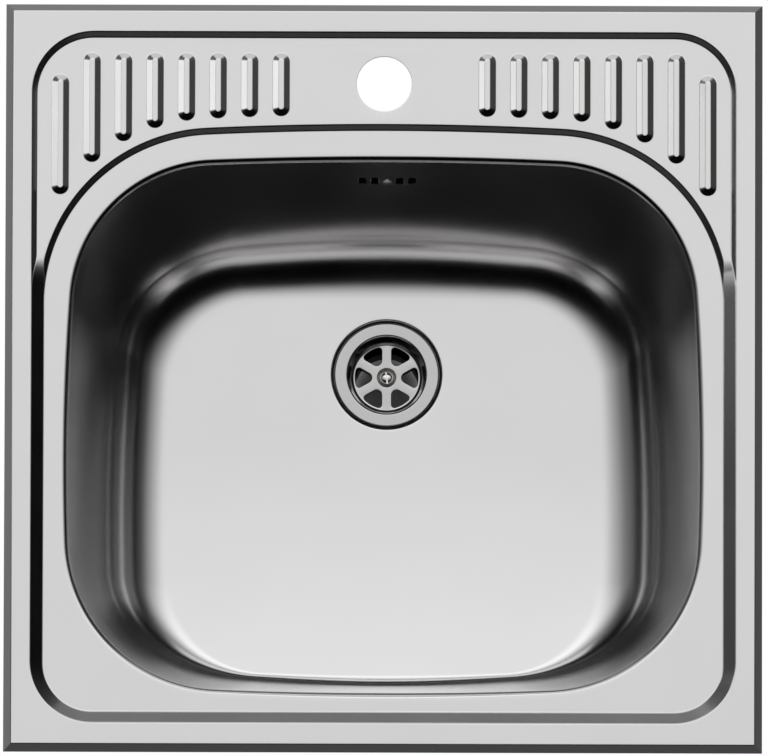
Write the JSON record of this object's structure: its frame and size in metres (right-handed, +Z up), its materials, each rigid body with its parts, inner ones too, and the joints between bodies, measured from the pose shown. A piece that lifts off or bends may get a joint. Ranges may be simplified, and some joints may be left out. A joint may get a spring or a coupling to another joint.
{
  "type": "inset kitchen sink",
  "caption": "Square stainless steel inset kitchen sink with one deep bowl, a ribbed tap ledge, a strainer waste with overflow, and swing clips under a bevelled rim.",
  "frame": {"origin": "middle of the sink on the worktop's surface, which is the underside of the rim seal", "axes": "+X to the right, +Y to the back where the tap stands, +Z up"},
  "size_m": [0.48, 0.48, 0.2245],
  "materials": {
    "stainless_steel": "satin pressed sheet",
    "galvanised_steel": "galvanised",
    "plated_steel": "bright zinc plate",
    "foam": "matt",
    "black_rubber": "matt",
    "black_plastic": "moulded polypropylene",
    "brass": "turned"
  },
  "bodies": {
    "sink": {"sink_top": "stainless_steel", "sink_bowl": "stainless_steel", "rim_seal": "foam", "sound_pad": "foam", "rail_left": "galvanised_steel", "rail_right": "galvanised_steel", "rail_front": "galvanised_steel", "rail_back_left": "galvanised_steel", "rail_back_right": "galvanised_steel", "clip_rivets": "plated_steel", "strainer": "stainless_steel", "strainer_screw": "plated_steel", "flange_seal": "black_rubber", "bowl_gasket": "black_rubber", "waste_body": "black_plastic", "screw_insert": "brass", "overflow_gasket": "black_rubber", "overflow_housing": "black_plastic", "overflow_screw": "plated_steel", "overflow_hose": "black_rubber", "hose_nut_top": "black_plastic", "hose_nut_bottom": "black_plastic"},
    "clip_1": {"clip_bracket_1": "galvanised_steel"},
    "jaw_1": {"clip_jaw_1": "galvanised_steel"},
    "screw_1": {"clip_screw_1": "plated_steel"},
    "clip_2": {"clip_bracket_2": "galvanised_steel"},
    "jaw_2": {"clip_jaw_2": "galvanised_steel"},
    "screw_2": {"clip_screw_2": "plated_steel"},
    "clip_3": {"clip_bracket_3": "galvanised_steel"},
    "jaw_3": {"clip_jaw_3": "galvanised_steel"},
    "screw_3": {"clip_screw_3": "plated_steel"},
    "clip_4": {"clip_bracket_4": "galvanised_steel"},
    "jaw_4": {"clip_jaw_4": "galvanised_steel"},
    "screw_4": {"clip_screw_4": "plated_steel"},
    "clip_5": {"clip_bracket_5": "galvanised_steel"},
    "jaw_5": {"clip_jaw_5": "galvanised_steel"},
    "screw_5": {"clip_screw_5": "plated_steel"},
    "clip_6": {"clip_bracket_6": "galvanised_steel"},
    "jaw_6": {"clip_jaw_6": "galvanised_steel"},
    "screw_6": {"clip_screw_6": "plated_steel"},
    "clip_7": {"clip_bracket_7": "galvanised_steel"},
    "jaw_7": {"clip_jaw_7": "galvanised_steel"},
    "screw_7": {"clip_screw_7": "plated_steel"},
    "clip_8": {"clip_bracket_8": "galvanised_steel"},
    "jaw_8": {"clip_jaw_8": "galvanised_steel"},
    "screw_8": {"clip_screw_8": "plated_steel"}
  },
  "joints": [
    {"name": "clip_1_swing", "type": "hinge", "parent": "sink", "child": "clip_1", "pos_m": [0.221, 0.11, -0.009], "axis": [0, 0, -1], "range_deg": [0, 90]},
    {"name": "clip_1_lift", "type": "slide", "parent": "clip_1", "child": "jaw_1", "axis": [0, 0, 1], "range_m": [0, 0.016]},
    {"name": "clip_1_screw", "type": "hinge", "parent": "jaw_1", "child": "screw_1", "pos_m": [0.221, 0.11, -0.0535], "axis": [0, 0, 1], "range_deg": [0, 7200]},
    {"name": "clip_2_swing", "type": "hinge", "parent": "sink", "child": "clip_2", "pos_m": [0.221, -0.11, -0.009], "axis": [0, 0, -1], "range_deg": [0, 90]},
    {"name": "clip_2_lift", "type": "slide", "parent": "clip_2", "child": "jaw_2", "axis": [0, 0, 1], "range_m": [0, 0.016]},
    {"name": "clip_2_screw", "type": "hinge", "parent": "jaw_2", "child": "screw_2", "pos_m": [0.221, -0.11, -0.0535], "axis": [0, 0, 1], "range_deg": [0, 7200]},
    {"name": "clip_3_swing", "type": "hinge", "parent": "sink", "child": "clip_3", "pos_m": [-0.221, 0.11, -0.009], "axis": [0, 0, -1], "range_deg": [0, 90]},
    {"name": "clip_3_lift", "type": "slide", "parent": "clip_3", "child": "jaw_3", "axis": [0, 0, 1], "range_m": [0, 0.016]},
    {"name": "clip_3_screw", "type": "hinge", "parent": "jaw_3", "child": "screw_3", "pos_m": [-0.221, 0.11, -0.0535], "axis": [0, 0, 1], "range_deg": [0, 7200]},
    {"name": "clip_4_swing", "type": "hinge", "parent": "sink", "child": "clip_4", "pos_m": [-0.221, -0.11, -0.009], "axis": [0, 0, -1], "range_deg": [0, 90]},
    {"name": "clip_4_lift", "type": "slide", "parent": "clip_4", "child": "jaw_4", "axis": [0, 0, 1], "range_m": [0, 0.016]},
    {"name": "clip_4_screw", "type": "hinge", "parent": "jaw_4", "child": "screw_4", "pos_m": [-0.221, -0.11, -0.0535], "axis": [0, 0, 1], "range_deg": [0, 7200]},
    {"name": "clip_5_swing", "type": "hinge", "parent": "sink", "child": "clip_5", "pos_m": [0.11, 0.221, -0.009], "axis": [0, 0, -1], "range_deg": [0, 90]},
    {"name": "clip_5_lift", "type": "slide", "parent": "clip_5", "child": "jaw_5", "axis": [0, 0, 1], "range_m": [0, 0.016]},
    {"name": "clip_5_screw", "type": "hinge", "parent": "jaw_5", "child": "screw_5", "pos_m": [0.11, 0.221, -0.0535], "axis": [0, 0, 1], "range_deg": [0, 7200]},
    {"name": "clip_6_swing", "type": "hinge", "parent": "sink", "child": "clip_6", "pos_m": [-0.11, 0.221, -0.009], "axis": [0, 0, -1], "range_deg": [0, 90]},
    {"name": "clip_6_lift", "type": "slide", "parent": "clip_6", "child": "jaw_6", "axis": [0, 0, 1], "range_m": [0, 0.016]},
    {"name": "clip_6_screw", "type": "hinge", "parent": "jaw_6", "child": "screw_6", "pos_m": [-0.11, 0.221, -0.0535], "axis": [0, 0, 1], "range_deg": [0, 7200]},
    {"name": "clip_7_swing", "type": "hinge", "parent": "sink", "child": "clip_7", "pos_m": [0.11, -0.221, -0.009], "axis": [0, 0, -1], "range_deg": [0, 90]},
    {"name": "clip_7_lift", "type": "slide", "parent": "clip_7", "child": "jaw_7", "axis": [0, 0, 1], "range_m": [0, 0.016]},
    {"name": "clip_7_screw", "type": "hinge", "parent": "jaw_7", "child": "screw_7", "pos_m": [0.11, -0.221, -0.0535], "axis": [0, 0, 1], "range_deg": [0, 7200]},
    {"name": "clip_8_swing", "type": "hinge", "parent": "sink", "child": "clip_8", "pos_m": [-0.11, -0.221, -0.009], "axis": [0, 0, -1], "range_deg": [0, 90]},
    {"name": "clip_8_lift", "type": "slide", "parent": "clip_8", "child": "jaw_8", "axis": [0, 0, 1], "range_m": [0, 0.016]},
    {"name": "clip_8_screw", "type": "hinge", "parent": "jaw_8", "child": "screw_8", "pos_m": [-0.11, -0.221, -0.0535], "axis": [0, 0, 1], "range_deg": [0, 7200]}
  ],
  "couplings": [
    {"joint": "clip_1_screw", "follows": "clip_1_lift", "rad_per_m": 7853.9},
    {"joint": "clip_2_screw", "follows": "clip_2_lift", "rad_per_m": 7853.9},
    {"joint": "clip_3_screw", "follows": "clip_3_lift", "rad_per_m": 7853.9},
    {"joint": "clip_4_screw", "follows": "clip_4_lift", "rad_per_m": 7853.9},
    {"joint": "clip_5_screw", "follows": "clip_5_lift", "rad_per_m": 7853.9},
    {"joint": "clip_6_screw", "follows": "clip_6_lift", "rad_per_m": 7853.9},
    {"joint": "clip_7_screw", "follows": "clip_7_lift", "rad_per_m": 7853.9},
    {"joint": "clip_8_screw", "follows": "clip_8_lift", "rad_per_m": 7853.9}
  ]
}
